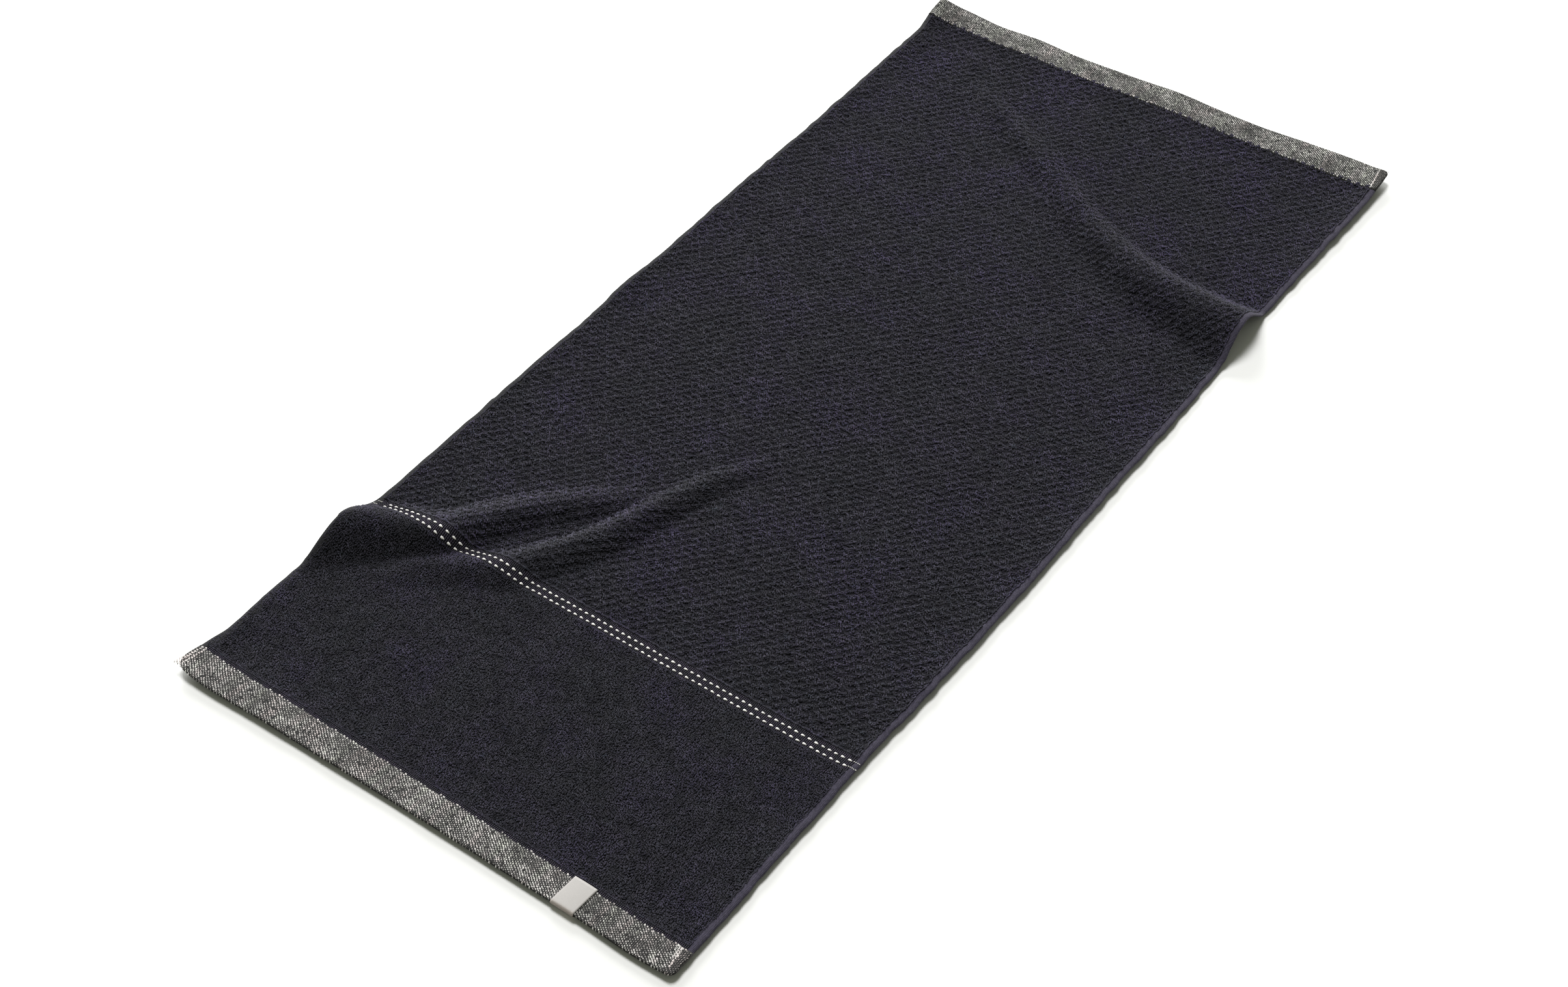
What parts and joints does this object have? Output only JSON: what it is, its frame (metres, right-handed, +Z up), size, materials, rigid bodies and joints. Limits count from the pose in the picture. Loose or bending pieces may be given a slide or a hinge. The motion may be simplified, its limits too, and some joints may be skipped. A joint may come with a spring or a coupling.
{
  "type": "bath towel",
  "caption": "Dark terry towel laid flat with speckled woven end hems, a dashed border, soft creases left by folding and a bare stiff tab folded over one end.",
  "frame": {"origin": "on the surface that the towel lies on, under the middle of its outline", "axes": "+Y along the towel's length, away from the end with the tab; +Z up, out of the face that shows; +X across its width, towards the side that the tab is nearer to"},
  "size_m": [0.5086, 1.0994, 0.0257],
  "materials": {
    "terry_cloth": "matte cotton terry in dark grey-violet, with speckled flat-woven end hems",
    "tab": "stiff pale woven tape with a slight sheen"
  },
  "bodies": {
    "root": {"towel": "terry_cloth", "tab": "tab"}
  },
  "joints": []
}
